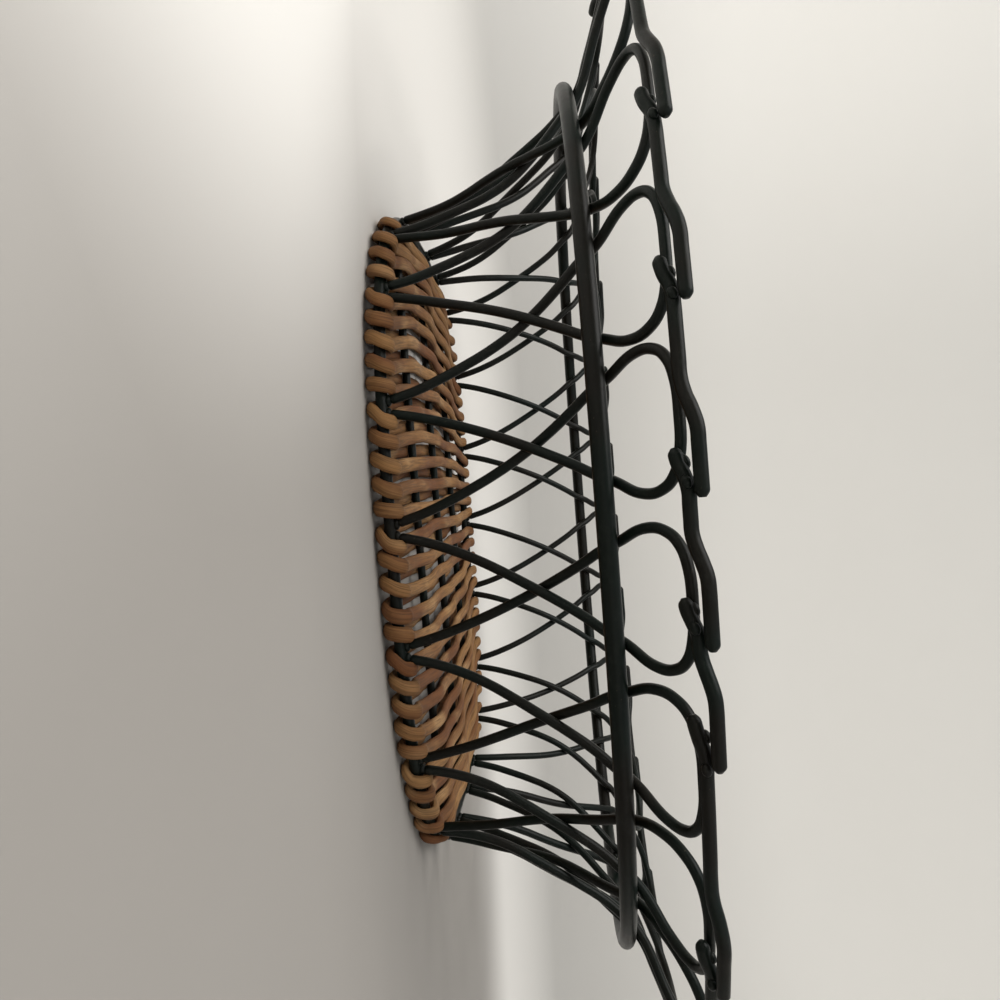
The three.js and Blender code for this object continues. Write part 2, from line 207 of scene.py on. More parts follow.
base_line = Oval(BASE_LENGTH, BASE_WIDTH, BASE_OVAL_POWER, RING_HEIGHT)
hoop_line = Oval(HOOP_LENGTH, HOOP_WIDTH, HOOP_OVAL_POWER, HOOP_HEIGHT)
rim_line = Oval(RIM_LENGTH, RIM_WIDTH, RIM_OVAL_POWER, RIM_HEIGHT)
print("hoop round in mm:", round(hoop_line.round / MM, 1))

# %% [markdown]
# ## The wall
#
# All the hairpins lie on one wall. It leans outwards from the ring to the hoop, bends there and
# flares to the rim. The wall is cut by lines square to the hoop: each gives a foot on the ring, a
# knee inside the hoop and a tip on the rim. A bend is then given by how far round it is, how far
# up the wall, and how far it stands off the wall's inner side.

# %% Points on the wall
def inner_side(start, end, outward):
    """The wall's inner direction along a straight run from start to end."""
    run = unit(end - start)
    return outward * -run[2] + UP * np.dot(run, outward)


def wall_at(turn):
    hoop_point = hoop_line.at(turn)
    outward = hoop_line.outward(hoop_point)
    foot = base_line.meet(hoop_point, -outward, BASE_WIDTH / 2)
    tip = rim_line.meet(hoop_point, outward, RIM_LENGTH / 2)
    rise_inner = inner_side(foot, hoop_point, outward)
    flare_inner = inner_side(hoop_point, tip, outward)
    return {
        "hoop": hoop_point,
        "outward": outward,
        "foot": foot,
        "tip": tip,
        "rise_inner": rise_inner,
        "flare_inner": flare_inner,
        "rise_knee": hoop_point + rise_inner * KNEE_OFFSET,
        "flare_knee": hoop_point + flare_inner * KNEE_OFFSET,
    }


def on_rise(turn, share, inwards=0.0):
    wall = wall_at(turn)
    bow = WALL_BOW * 4 * share * (1 - share)
    along = wall["foot"] + (wall["rise_knee"] - wall["foot"]) * share
    return along + wall["rise_inner"] * (inwards + bow)


def on_flare(turn, inset, inwards=0.0):
    wall = wall_at(turn)
    run = unit(wall["tip"] - wall["flare_knee"])
    return wall["tip"] - run * inset + wall["flare_inner"] * inwards


def flare_length(turn):
    wall = wall_at(turn)
    return np.linalg.norm(wall["tip"] - wall["flare_knee"])


def smoothstep(value, low, high):
    share = min(max((value - low) / (high - low), 0.0), 1.0)
    return share * share * (3 - 2 * share)


def between(low, high, share):
    return low + (high - low) * share


near_wall = wall_at(0.75)
print("near wall from foot to tip:", (near_wall["tip"] - near_wall["foot"]) / MM)

# %% [markdown]
# ## Where the feet stand
#
# Two feet of neighbouring hairpins stand side by side on the ring, in a gap between two turns of
# the cane. The gaps are a fixed distance apart along the basket, so the even step round the hoop
# is moved a little until the feet fall in the nearest gap. Beyond the last row there is no cane
# on the ring and the feet stay where the even step puts them.

# %% Pairs of feet
last_row = 2 * math.floor(((BASE_LENGTH / 2 - END_MARGIN) / ROW_PITCH - 1) / 2) + 1


def row_x(row, y):
    """Where a row lies at a distance y from the middle line. It bows outwards."""
    x = row * ROW_PITCH
    length_power, fade_power = ROW_FADE_POWERS
    lengthwise = (1 - (x / base_line.half_length) ** length_power) ** fade_power
    crosswise = 1 - (y / base_line.width_at(x)) ** 2
    return x * (1 + ROW_BOW_SHARE * lengthwise * crosswise)


def half_up(value):
    return math.floor(value + 0.5)


def settle_feet(turn):
    wanted_x = wall_at(turn)["foot"][0]
    if abs(wanted_x) > last_row * ROW_PITCH:
        return turn
    bare_x = ROW_PITCH * (2 * half_up((wanted_x / ROW_PITCH - 1) / 2) + 1)
    quarter_pitch = 0.25 / HAIRPIN_COUNT
    settled = turn
    for _ in range(SETTLE_ROUNDS):
        ahead = wall_at(settled + quarter_pitch / 4)["foot"][0]
        behind = wall_at(settled - quarter_pitch / 4)["foot"][0]
        slope = (ahead - behind) / (quarter_pitch / 2)
        change = (bare_x - wall_at(settled)["foot"][0]) / slope
        settled += min(max(change, -quarter_pitch), quarter_pitch)
    return settled


def foot_pair(index):
    turn = settle_feet((index - 0.5) / HAIRPIN_COUNT + PATTERN_SHIFT / hoop_line.round)
    sample = 0.01 / HAIRPIN_COUNT
    apart = np.linalg.norm(wall_at(turn + sample)["foot"] - wall_at(turn - sample)["foot"])
    half = FOOT_OFFSET * 2 * sample / apart
    return {"point": wall_at(turn)["foot"], "left": turn - half, "right": turn + half}


foot_pairs = [foot_pair(index) for index in range(HAIRPIN_COUNT)]
print("rows of cane:", 2 * last_row + 1, "pairs of feet:", len(foot_pairs))

# %% [markdown]
# ## Bending a wire
#
# Every wire here is round rod. A curve with a round bevel is the tool for it: its points are the
# bends, automatic handles give the spring of real rod between them, and the bevel is the rod's
# thickness. The curve is then turned into a mesh, because the finish needs one. It has no caps:
# near a cut end the rings of vertices are drawn together, as the coating rounds a cropped rod, and
# the small hole that is left is filled.

# %% The wire tool
CURVE_STEPS = 8
WIRE_SIDES = 12
BLUNT_TIP = 0.12


def deselect():
    if bpy.context.object is not None and bpy.context.object.mode != "OBJECT":
        bpy.ops.object.mode_set(mode="OBJECT")
    bpy.ops.object.select_all(action="DESELECT")


def pick(thing):
    deselect()
    thing.select_set(True)
    bpy.context.view_layer.objects.active = thing


def bevel_resolution(sides):
    """Blender's number for a round bevel with this many sides."""
    return (sides - 4) // 2


def runs_along(points):
    """How far along a line each of its points lies."""
    return np.concatenate([[0], np.cumsum(np.linalg.norm(np.diff(points, axis=0), axis=1))])


def bend_wire(name, bends, diameter, closed=False, steps=CURVE_STEPS, sides=WIRE_SIDES):
    deselect()
    bpy.ops.curve.primitive_bezier_curve_add(location=(0, 0, 0))
    rod = bpy.context.object
    rod.name = name
    line = rod.data.splines[0]
    line.bezier_points.add(len(bends) - 2)
    for knot, bend in zip(line.bezier_points, bends):
        knot.co = Vector(bend)
        knot.handle_left_type = "AUTO"
        knot.handle_right_type = "AUTO"
    line.use_cyclic_u = closed
    rod.data.dimensions = "3D"
    rod.data.resolution_u = steps
    rod.data.bevel_depth = diameter / 2
    rod.data.bevel_resolution = bevel_resolution(sides)
    pick(rod)
    bpy.ops.object.convert(target="MESH")
    rod = bpy.context.object
    rod.data.name = name
    if not closed:
        round_ends(rod, diameter, sides)
        close_ends(rod, sides)
    bpy.ops.object.shade_smooth()
    return rod


def round_ends(rod, diameter, sides):
    """Draws the rings of vertices near each end together, down to a small blunt tip."""
    rings = np.array([vertex.co for vertex in rod.data.vertices]).reshape(-1, sides, 3)
    middles = rings.mean(axis=1)
    runs = runs_along(middles)
    to_end = np.minimum(runs, runs[-1] - runs)
    reach = np.clip(1 - to_end / (diameter / 2), 0, 1 - BLUNT_TIP)
    share = np.sqrt(1 - reach**2)[:, None, None]
    drawn = middles[:, None] + (rings - middles[:, None]) * share
    rod.data.vertices.foreach_set("co", drawn.astype(np.float32).ravel())
    rod.data.update()


def close_ends(rod, sides):
    pick(rod)
    bpy.ops.object.mode_set(mode="EDIT")
    bpy.ops.mesh.select_all(action="SELECT")
    bpy.ops.mesh.fill_holes(sides=sides)
    bpy.ops.mesh.normals_make_consistent(inside=False)
    bpy.ops.object.mode_set(mode="OBJECT")


# %% [markdown]
# ## Shader arithmetic
#
# A finish is a small network of nodes. Written out node by node it is hard to read, so one class
# stands for a value that flows between nodes, and adding or multiplying it adds the Math node.
# Every other node comes from one method of the finish.

# %% Values and nodes
class Signal:
    """A value that flows between shader nodes."""

    def __init__(self, finish, socket):
        self.finish = finish
        self.socket = socket

    def combine(self, operation, first, second):
        return self.finish.node("ShaderNodeMath", {"operation": operation}, {0: first, 1: second})

    def __add__(self, other):
        return self.combine("ADD", self, other)

    __radd__ = __add__

    def __rsub__(self, other):
        return self.combine("SUBTRACT", other, self)

    def __mul__(self, other):
        return self.combine("MULTIPLY", self, other)

    def larger(self, other):
        return self.combine("MAXIMUM", self, other)

    def ramp(self, low, high):
        """0 below low, 1 above high."""
        settings = {"interpolation_type": "SMOOTHSTEP"}
        sockets = {"Value": self, "From Min": low, "From Max": high}
        return self.finish.node("ShaderNodeMapRange", settings, sockets)


class Finish:
    """A material made of shader nodes round one Principled shader."""

    def __init__(self, name):
        self.material = bpy.data.materials.new(name)
        self.material.use_nodes = True
        self.tree = self.material.node_tree
        self.shader = self.tree.nodes["Principled BSDF"]

    def node(self, kind, settings=None, sockets=None, output=0):
        node = self.tree.nodes.new(kind)
        for name, value in (settings or {}).items():
            setattr(node, name, value)
        for name, value in (sockets or {}).items():
            self.feed(node.inputs[name], value)
        return Signal(self, node.outputs[output])

    def feed(self, socket, value):
        if isinstance(value, Signal):
            self.tree.links.new(value.socket, socket)
        else:
            socket.default_value = value

    def surface(self, **values):
        """Sets the shader's sockets, whose names have spaces for the underscores."""
        for name, value in values.items():
            self.feed(self.shader.inputs[name.replace("_", " ")], value)

    def place(self):
        return self.node("ShaderNodeTexCoord", output="Object")

    def attribute(self, name):
        return self.node("ShaderNodeAttribute", {"attribute_name": name}, output="Vector")

    def stretch(self, vector, scale):
        return self.node("ShaderNodeVectorMath", {"operation": "MULTIPLY"}, {0: vector, 1: scale})

    def noise(self, vector, scale, detail=2.0, roughness=0.5):
        sockets = {"Vector": vector, "Scale": scale, "Detail": detail, "Roughness": roughness}
        return self.node("ShaderNodeTexNoise", None, sockets)

    def mix(self, factor, first, second, blend="MIX"):
        settings = {"data_type": "RGBA", "blend_type": blend}
        return self.node("ShaderNodeMix", settings, {0: factor, 6: first, 7: second}, output=2)

    def bump(self, height, distance, strength=1.0):
        sockets = {"Height": height, "Distance": distance, "Strength": strength}
        return self.node("ShaderNodeBump", None, sockets)


# %% [markdown]
# ## The coating
#
# The wires are dipped in a dark green, almost black coating with a soft shine. It is not even: it
# is browner in places, thin on worn spots, slightly pebbled, and a little dust lies on it. Plain
# noise on the object's own coordinates gives each of these at its own scale.

# %% The coating's finish
coat = Finish("dark_green_coating")
where = coat.place()
drift = coat.noise(where, 55.0, 2.0).ramp(0.35, 0.65)
pebbles = coat.noise(where, 2600.0, 3.0, 0.6)
smears = coat.noise(where, 420.0, 4.0, 0.65)
worn = coat.noise(where, 950.0, 5.0, 0.7).ramp(0.66, 0.72)
green_black = (0.0042, 0.0074, 0.0057, 1)
brown_black = (0.0068, 0.0062, 0.0047, 1)
bare_steel = (0.075, 0.062, 0.048, 1)
dusty = (0.02, 0.023, 0.02, 1)
tone = coat.mix(drift, green_black, brown_black)
tone = coat.mix(smears.ramp(0.5, 0.85) * 0.45, tone, dusty)
tone = coat.mix(worn * 0.6, tone, bare_steel)
coat.surface(
    Base_Color=tone,
    Roughness=0.24 + smears * 0.22 + worn * 0.14,
    Metallic=worn * 0.5,
    Normal=coat.bump(pebbles + smears * 0.6, 0.035 * MM),
    Specular_IOR_Level=0.13,
)
print("coating nodes:", len(coat.tree.nodes))

# %% [markdown]
# ## The cane
#
# Cane is a split stem with fine straight fibres. Its brown stain takes unevenly along the strand,
# so one turn is redder or paler than the next, and small dark flecks lie along the fibres. The
# pattern has to follow the strand round every wrap, so it reads a coordinate that is stored on
# the strand as if it lay straight: first the distance along it, then the place in its section.

# %% The cane's finish
cane = Finish("brown_cane")
straight = cane.attribute("straight")
lengths = cane.noise(cane.stretch(straight, (13.0, 60.0, 60.0)), 1.0, 2.0)
turns = cane.noise(cane.stretch(straight, (38.0, 90.0, 90.0)), 1.0, 3.0)
fibres = cane.noise(cane.stretch(straight, (110.0, 4200.0, 4200.0)), 1.0, 3.0, 0.6)
cords = cane.noise(cane.stretch(straight, (45.0, 1500.0, 1500.0)), 1.0, 2.0, 0.5)
flecks = cane.noise(cane.stretch(straight, (420.0, 2600.0, 2600.0)), 1.0, 4.0, 0.7).ramp(0.62, 0.74)
red_brown = (0.15, 0.058, 0.02, 1)
tan_brown = (0.27, 0.14, 0.052, 1)
pale_cane = (0.46, 0.285, 0.135, 1)
dark_cane = (0.035, 0.014, 0.005, 1)
shade = cane.mix(lengths.ramp(0.4, 0.6), red_brown, tan_brown)
shade = cane.mix(turns.ramp(0.5, 0.7) * 0.6, shade, pale_cane)
shade = cane.mix((1 - fibres.ramp(0.35, 0.6)) * 0.55, shade, dark_cane)
shade = cane.mix(flecks * 0.6, shade, dark_cane)
cane.surface(
    Base_Color=shade,
    Roughness=0.6 + fibres * 0.3,
    Normal=cane.bump(fibres * 0.6 + cords, 0.16 * MM, 0.9),
    Specular_IOR_Level=0.25,
)
print("cane nodes:", len(cane.tree.nodes))

# %% [markdown]
# ## Handing a piece over
#
# Each finished piece gets its finish, rides on the basket's only body and stands for its packed
# node, which is then hidden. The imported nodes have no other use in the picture.

# %% Seating a piece
def seat(piece, node, finish):
    piece.name = node + "_piece"
    piece.data.materials.clear()
    piece.data.materials.append(finish.material)
    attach(piece, "root")
    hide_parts(node)


# %% [markdown]
# ## Weld beads
#
# The wires are spot welded where they touch. Under the coating a weld is a small soft lump that
# fills the corner between two rods. One lump is modelled, a ball that is longer, flatter and a
# little rough, and a copy of it goes to every joint, turned to lie along the rod it sits on.

# %% One bead, and its copies
BEAD_STRETCH = (1.35, 1.0, 0.8)
BEAD_ROUGHNESS = 0.06
STAKE_BEAD = 0.85 * MM
HOOP_BEAD = 1.05 * MM
FOOT_BEAD = 1.0 * MM
TIP_BEAD = 0.95 * MM
SCROLL_BEAD = 0.9 * MM


def make_bead():
    deselect()
    bpy.ops.mesh.primitive_uv_sphere_add(segments=12, ring_count=8, radius=1.0, location=(0, 0, 0))
    bead = bpy.context.object
    bead.name = "weld_bead"
    bpy.ops.object.mode_set(mode="EDIT")
    bpy.ops.mesh.select_all(action="SELECT")
    bpy.ops.transform.resize(value=BEAD_STRETCH, center_override=(0, 0, 0))
    bpy.ops.transform.vertex_random(offset=BEAD_ROUGHNESS, uniform=0.0, normal=0.0, seed=7)
    bpy.ops.object.mode_set(mode="OBJECT")
    bpy.ops.object.shade_smooth()
    return bead


bead_pattern = make_bead()


def lay_bead(place, along, inwards, radius):
    """Copies the bead to a place, its long axis along one rod and its flat side to the other."""
    deselect()
    bead = bead_pattern.copy()
    bead.data = bead_pattern.data.copy()
    bpy.context.scene.collection.objects.link(bead)
    long_axis = unit(along)
    third_axis = unit(inwards - long_axis * np.dot(inwards, long_axis))
    second_axis = np.cross(third_axis, long_axis)
    turned = Matrix((long_axis, second_axis, third_axis)).transposed().to_4x4()
    bead.data.transform(Matrix.Translation(Vector(place)) @ turned @ Matrix.Scale(radius, 4))
    return bead


def weld(rod, beads):
    """Joins beads to a rod, so that they are one piece."""
    pick(rod)
    for bead in beads:
        bead.select_set(True)
    bpy.ops.object.join()
    return rod


print("bead faces:", len(bead_pattern.data.polygons))

# %% [markdown]
# ## The ring, the hoop and the stakes
#
# The ring and the hoop are closed rods. Their bends are even steps round their ovals, close
# enough that the curve between them can't be told from the oval. The stakes are straight rods
# across the ring, welded to its inner side at both ends. Two of a stake's bends lie close to its
# ends, so that the rounding there has rings of vertices to draw together.

# %% The heavy wires
OVAL_BENDS = 64
OVAL_STEPS = 6
OVAL_SIDES = 16
STAKE_BENDS = (-1, -0.97, -0.5, 0, 0.5, 0.97, 1)


def oval_rod(node, line, diameter):
    bends = [line.at(index / OVAL_BENDS) for index in range(OVAL_BENDS)]
    rod = bend_wire(node, bends, diameter, closed=True, steps=OVAL_STEPS, sides=OVAL_SIDES)
    seat(rod, node, coat)


oval_rod("base_ring", base_line, RING_WIRE)
oval_rod("oval_hoop", hoop_line, HOOP_WIRE)

stake_ys = [((index + 1) / (STAKE_COUNT + 1) - 0.5) * BASE_WIDTH for index in range(STAKE_COUNT)]


def stake_half_length(y):
    end = np.array([base_line.length_at(y), y, 0.0])
    outward = base_line.outward(end)
    corner = abs(outward[1] / outward[0]) * (STAKE_WIRE / 2)
    return end[0] - (RING_WIRE / 2 + SEAT_GAP) / outward[0] - corner


for number, y in enumerate(stake_ys, start=1):
    half = stake_half_length(y)
    bends = [np.array([share * half, y, RING_HEIGHT]) for share in STAKE_BENDS]
    stake = bend_wire("base_stake", bends, STAKE_WIRE)
    ends = [np.array([side * (half + SEAT_GAP), y, RING_HEIGHT]) for side in (-1, 1)]
    stake = weld(stake, [lay_bead(end, ACROSS, UP, STAKE_BEAD) for end in ends])
    seat(stake, "base_stake_" + str(number), coat)
print("stakes:", STAKE_COUNT)

# %% [markdown]
# ## The hairpins
#
# A hairpin is one thin rod. It starts on the ring, leans across to the far side of its own loop,
# bends inside the hoop, goes round the loop and comes back across itself to its second foot. One
# leg passes on the inner side of the other where they cross. The places on the wall give its
# bends, and the wire tool does the rest.

# %% One hairpin
ARCH_ANGLES = [22.5 * step for step in range(9)]
LEG_BENDS = 9
TOP_BEND_SHARE = 0.965
FOOT_GAP = 0.09 * MM
FOOT_BEAD_SINK = 0.1 * MM


def leg_bends(foot_turn, neck_turn, side):
    rise = wall_at(foot_turn)
    rise_length = np.linalg.norm(rise["rise_knee"] - rise["foot"])
    foot_share = (RING_WIRE / 2 + FOOT_GAP) / rise_length
    straight_share = STRAIGHT_FOOT / rise_length
    crossing = (1 + straight_share) / 2 + CROSSING_RISE_SHARE
    lean_power = math.log(0.5) / math.log(crossing)
    bends = []
    for share in np.linspace(foot_share, TOP_BEND_SHARE, LEG_BENDS):
        nearness = min(1.0, abs(share - crossing) / CROSSING_REACH_SHARE)
        inwards = side * FOOT_OFFSET * math.cos(nearness * math.pi / 2) ** 2
        bends.append(on_rise(between(foot_turn, neck_turn, share**lean_power), share, inwards))
    return bends


def loop_centre(index):
    """The turn of the middle of a loop."""
    lean = LOOP_LEANS.get(index % HAIRPIN_COUNT, 0) * MM
    return index / HAIRPIN_COUNT + (PATTERN_SHIFT + lean) / hoop_line.round


def knee_bend(turn):
    """The top of the bend inside the hoop, between the rise and the flare."""
    wall = wall_at(turn)
    inner = unit(wall["rise_inner"] + wall["flare_inner"])
    return wall["hoop"] + inner * KNEE_OFFSET


def hairpin_bends(index):
    centre = loop_centre(index)
    flare = flare_length(centre) - TIP_INSET
    arch_depth = flare * (1 - LOOP_WIDEST_SHARE)
    power = 2 / LOOP_OVAL_POWER
    arch = []
    for degrees in ARCH_ANGLES:
        angle = math.radians(degrees)
        cosine = math.cos(angle)
        along = -LOOP_WIDTH / 2 * math.copysign(abs(cosine) ** power, cosine)
        depth = arch_depth * abs(math.sin(angle)) ** power
        arch.append(on_flare(centre + along / hoop_line.round, TIP_INSET + arch_depth - depth))
    next_index = (index + 1) % HAIRPIN_COUNT
    left = foot_pairs[index]["right"]
    right = foot_pairs[next_index]["left"] + (1 if next_index == 0 else 0)
    neck = NECK_WIDTH / 2 / hoop_line.round
    rising = leg_bends(right, centre - neck, 1)
    falling = leg_bends(left, centre + neck, -1)[::-1]
    return [*rising, knee_bend(centre - neck), *arch, knee_bend(centre + neck), *falling]


def hairpin_beads(index, bends):
    centre = loop_centre(index)
    neck = NECK_WIDTH / 2 / hoop_line.round
    beads = []
    for turn in (centre - neck, centre + neck):
        wall = wall_at(turn)
        inner = unit(wall["rise_inner"] + wall["flare_inner"])
        along = np.cross(UP, wall["outward"])
        beads.append(lay_bead(wall["hoop"] + inner * (HOOP_WIRE / 2), along, inner, HOOP_BEAD))
    for foot, after in ((bends[0], bends[1]), (bends[-1], bends[-2])):
        ring_tangent = np.cross(UP, base_line.outward(foot))
        rising = unit(after - foot)
        beads.append(lay_bead(foot - rising * FOOT_BEAD_SINK, ring_tangent, rising, FOOT_BEAD))
    return beads


for index in range(HAIRPIN_COUNT):
    bends = hairpin_bends(index)
    rod = bend_wire("hairpin", bends, HAIRPIN_WIRE)
    rod = weld(rod, hairpin_beads(index, bends))
    seat(rod, "hairpin_wire_" + str(index + 1), coat)
print("hairpins:", HAIRPIN_COUNT, "faces in the last:", len(rod.data.polygons))

# %% [markdown]
# ## The rim scrolls
#
# Each scroll starts tucked under the tip of its own loop, runs along just outside the tips, and
# jogs outwards over the start of the next scroll, where it ends. Beads join it to the tip of its
# loop and to the end of the scroll before it. The rod was cropped by a blunt tool, so its ends
# are narrower and well rounded.

# %% One scroll
SCROLL_STEPS = 14
SIDE_BEAD_SHARE = 0.4
SIDE_BEAD_DROP = 0.15


def scroll_start(index):
    shift = SCROLL_SHIFTS.get(index % HAIRPIN_COUNT, 0) * MM
    return loop_centre(index) * hoop_line.round + SCROLL_START + shift


def scroll_bends(index):
    start = scroll_start(index)
    pitch = scroll_start(index + 1) - start
    touching = (SCROLL_WIRE + HAIRPIN_WIRE) / 2 + SEAT_GAP
    body = TIP_INSET - SCROLL_PROUD
    outside = body - SCROLL_WIRE - SEAT_GAP
    jog = pitch - JOG_RUN - SCROLL_PROUD
    end = pitch + SCROLL_OVERLAP
    bends = []
    for step in range(SCROLL_STEPS + 1):
        along = end * step / SCROLL_STEPS
        tucked = 1 - smoothstep(along, 0, TUCK_RUN)
        jogged = smoothstep(along, jog, jog + JOG_RUN)
        inset = between(body, outside, jogged) + SCROLL_TUCK * tucked
        beyond_tips = min(max(TIP_INSET - inset, 0.0), SCROLL_PROUD)
        under = math.sqrt(touching**2 - beyond_tips**2)
        bends.append(on_flare((start + along) / hoop_line.round, inset, -under))
    return bends


def scroll_beads(bends):
    """One bead at the loop's tip and one beside the end of the scroll before."""
    along = unit(bends[2] - bends[0])
    outward = rim_line.outward(bends[1])
    tip = bends[1] + UP * (SCROLL_WIRE / 2)
    middle = between(bends[2], bends[3], SIDE_BEAD_SHARE)
    beside = middle + (outward - UP * SIDE_BEAD_DROP) * (SCROLL_WIRE / 2)
    return [lay_bead(tip, along, UP, TIP_BEAD), lay_bead(beside, along, outward, SCROLL_BEAD)]


for index in range(HAIRPIN_COUNT):
    bends = scroll_bends(index)
    rod = bend_wire("scroll", bends, SCROLL_WIRE)
    rod = weld(rod, scroll_beads(bends))
    seat(rod, "rim_scroll_" + str(index + 1), coat)
print("scrolls:", HAIRPIN_COUNT, "faces in the last:", len(rod.data.polygons))

# %% [markdown]
# ## The cane's route
#
# One strand goes to and fro across the base. An even row lies over the ring and the stakes, and
# an odd row under them, with half a turn round the ring between the two. Real rows aren't ruler
# straight, so each wanders a little sideways and sinks a little between its wires. Some turns
# move over to the next row on the ring's outer face and some under the ring: the upper end of the
# move lies 45 to 100 degrees round from the ring's top. The random numbers are seeded, so the base
# comes out the same every time.

# %% The route of the strand
random.seed(11)
ROW_STEP = 1.5 * MM
WRAP_DEGREES = range(75, -90, -15)
EARLIEST_MOVE, LATEST_MOVE = 45, 100
MOVE_OVER_DEGREES = 80
WANDER = 0.36 * MM
WANDER_WAVES = 4
CORNER_EASE = 4 * MM
SAG = 0.7 * MM
SAG_START, SAG_END = 1.5 * MM, 13 * MM
CANE_CLOSER = 0.12 * MM
CANE_RISE = RING_WRAP - CANE_CLOSER


def cross_ring(row, side):
    """Where a row crosses the ring. An even row makes room for a pair of feet near it."""
    x = row * ROW_PITCH

    def ring_point(at_x):
        return np.array([at_x, side * base_line.width_at(at_x), RING_HEIGHT])

    point = ring_point(x)
    if row % 2 != 0:
        return point
    clear = FOOT_OFFSET + HAIRPIN_WIRE / 2 + SEAT_GAP + STRAND_WIDTH / 2
    for pair in foot_pairs:
        apart = np.linalg.norm(pair["point"] - point)
        if apart < clear:
            across = abs(base_line.outward(point)[1])
            return ring_point(x + np.sign(x - pair["point"][0]) * (clear - apart) * across)
    return point


def row_route(row):
    """Points of one row from its first crossing of the ring to its last."""
    even = row % 2 == 0
    level = 1 if even else -1
    first, last = [cross_ring(row, side) for side in ((NEAR, FAR) if even else (FAR, NEAR))]
    top_first, top_last = [crossing + UP * level * CANE_RISE for crossing in (first, last)]
    span = abs(top_last[1] - top_first[1])
    count = max(2, round(span / ROW_STEP))
    sway = [random.uniform(-1, 1) for _ in range(WANDER_WAVES)]
    points = [top_first]
    for step in range(1, count):
        share = step / count
        y = between(top_first[1], top_last[1], share)
        edge = min(share, 1 - share) * span
        settled = smoothstep(edge, 0, STRAND_EASE)
        ring_x = first[0] if share < 0.5 else last[0]
        line_x = between(ring_x, row_x(row, y), settled)
        wander = sum(size * math.sin(math.pi * order * share) for order, size in enumerate(sway, 1))
        nearest = min(abs(y - stake_y) for stake_y in stake_ys)
        rest = STAKE_LIFT - CANE_CLOSER - SAG * smoothstep(nearest, SAG_START, SAG_END)
        height = between(CANE_RISE, rest, settled)
        points.append(np.array([line_x + WANDER * wander, y, RING_HEIGHT + level * height]))
    points.append(top_last)
    return points


def wrap_route(start, end, starts_over):
    """Half a turn round the ring from one row's crossing to the next row's."""
    sign = 1 if starts_over else -1
    from_top = random.uniform(EARLIEST_MOVE, LATEST_MOVE)
    leaves = from_top if starts_over else 180 - from_top - MOVE_OVER_DEGREES
    points = []
    for degrees in WRAP_DEGREES:
        angle = math.radians(sign * degrees)
        moved = smoothstep(90 - degrees, leaves, leaves + MOVE_OVER_DEGREES)
        crossing = between(start, end, moved)
        outward = base_line.outward(crossing)
        points.append(crossing + CANE_RISE * (outward * math.cos(angle) + UP * math.sin(angle)))
    return points


def along_ring(point):
    outward = base_line.outward(point)
    tangent = np.array([-outward[1], outward[0], 0.0])
    return tangent * (1 if tangent[0] >= 0 else -1)


route = []
sideways = []
for row in range(-last_row, last_row + 1):
    points = row_route(row)
    edge_distances = [min(abs(p[1] - points[0][1]), abs(p[1] - points[-1][1])) for p in points]
    for point, distance in zip(points, edge_distances):
        route.append(point)
        lean = 1 - smoothstep(distance, 0, STRAND_EASE)
        sideways.append(unit(between(ALONG, along_ring(point), lean)))
    if row == last_row:
        break
    side = FAR if row % 2 == 0 else NEAR
    for point in wrap_route(cross_ring(row, side), cross_ring(row + 1, side), row % 2 == 0):
        route.append(point)
        sideways.append(along_ring(point))
route = np.array(route)
sideways = np.array(sideways)

# A bent strand can't turn a corner, so each x becomes an average of the x values near it, and
# the direction across the strand is averaged too.
runs = runs_along(route)
spacing = np.gradient(runs)
eased_x = np.empty(len(route))
eased_sideways = np.empty_like(sideways)
for index, run in enumerate(runs):
    first, last = np.searchsorted(runs, [run - 2 * CORNER_EASE, run + 2 * CORNER_EASE])
    weights = spacing[first:last] * np.exp(-(((runs[first:last] - run) / CORNER_EASE) ** 2))
    eased_x[index] = weights @ route[first:last, 0] / weights.sum()
    eased_sideways[index] = unit(weights @ sideways[first:last])
route[:, 0] = eased_x
sideways = eased_sideways
strand_runs = runs_along(route)
print("strand length in m:", round(float(strand_runs[-1]), 2), "points:", len(route))

# %% [markdown]
# ## The strand itself
#
# The strand is a curve too, but cane is wider than it is thick. A flat bevel would twist as the
# curve turns over the ring, so the curve gets a round bevel of the cane's thickness, and after it
# is a mesh each ring of its vertices is pulled out sideways, along the ring wire. Its width swells
# and shrinks by a few hundredths. The same pass stores the straight coordinate that the cane's
# finish reads.

# %% The wound strand
STRAND_SIDES = 12
CANE_THICKNESS = STRAND_THICKNESS + 2 * CANE_CLOSER
CANE_WIDER = 0.4 * MM
CANE_WIDTH = STRAND_WIDTH + CANE_WIDER
SWELL = 0.05
SWELL_RATES = (61.0, 17.3)

deselect()
bpy.ops.curve.primitive_nurbs_path_add(location=(0, 0, 0))
strand = bpy.context.object
strand.data.splines.clear()
line = strand.data.splines.new("POLY")
line.points.add(len(route) - 1)
for knot, point in zip(line.points, route):
    knot.co = (*point, 1)
strand.data.dimensions = "3D"
strand.data.twist_mode = "MINIMUM"
strand.data.bevel_depth = CANE_THICKNESS / 2
strand.data.bevel_resolution = bevel_resolution(STRAND_SIDES)
pick(strand)
bpy.ops.object.convert(target="MESH")
strand = bpy.context.object
places = np.array([vertex.co for vertex in strand.data.vertices])
print("rings:", len(places) / STRAND_SIDES, "of", len(route))

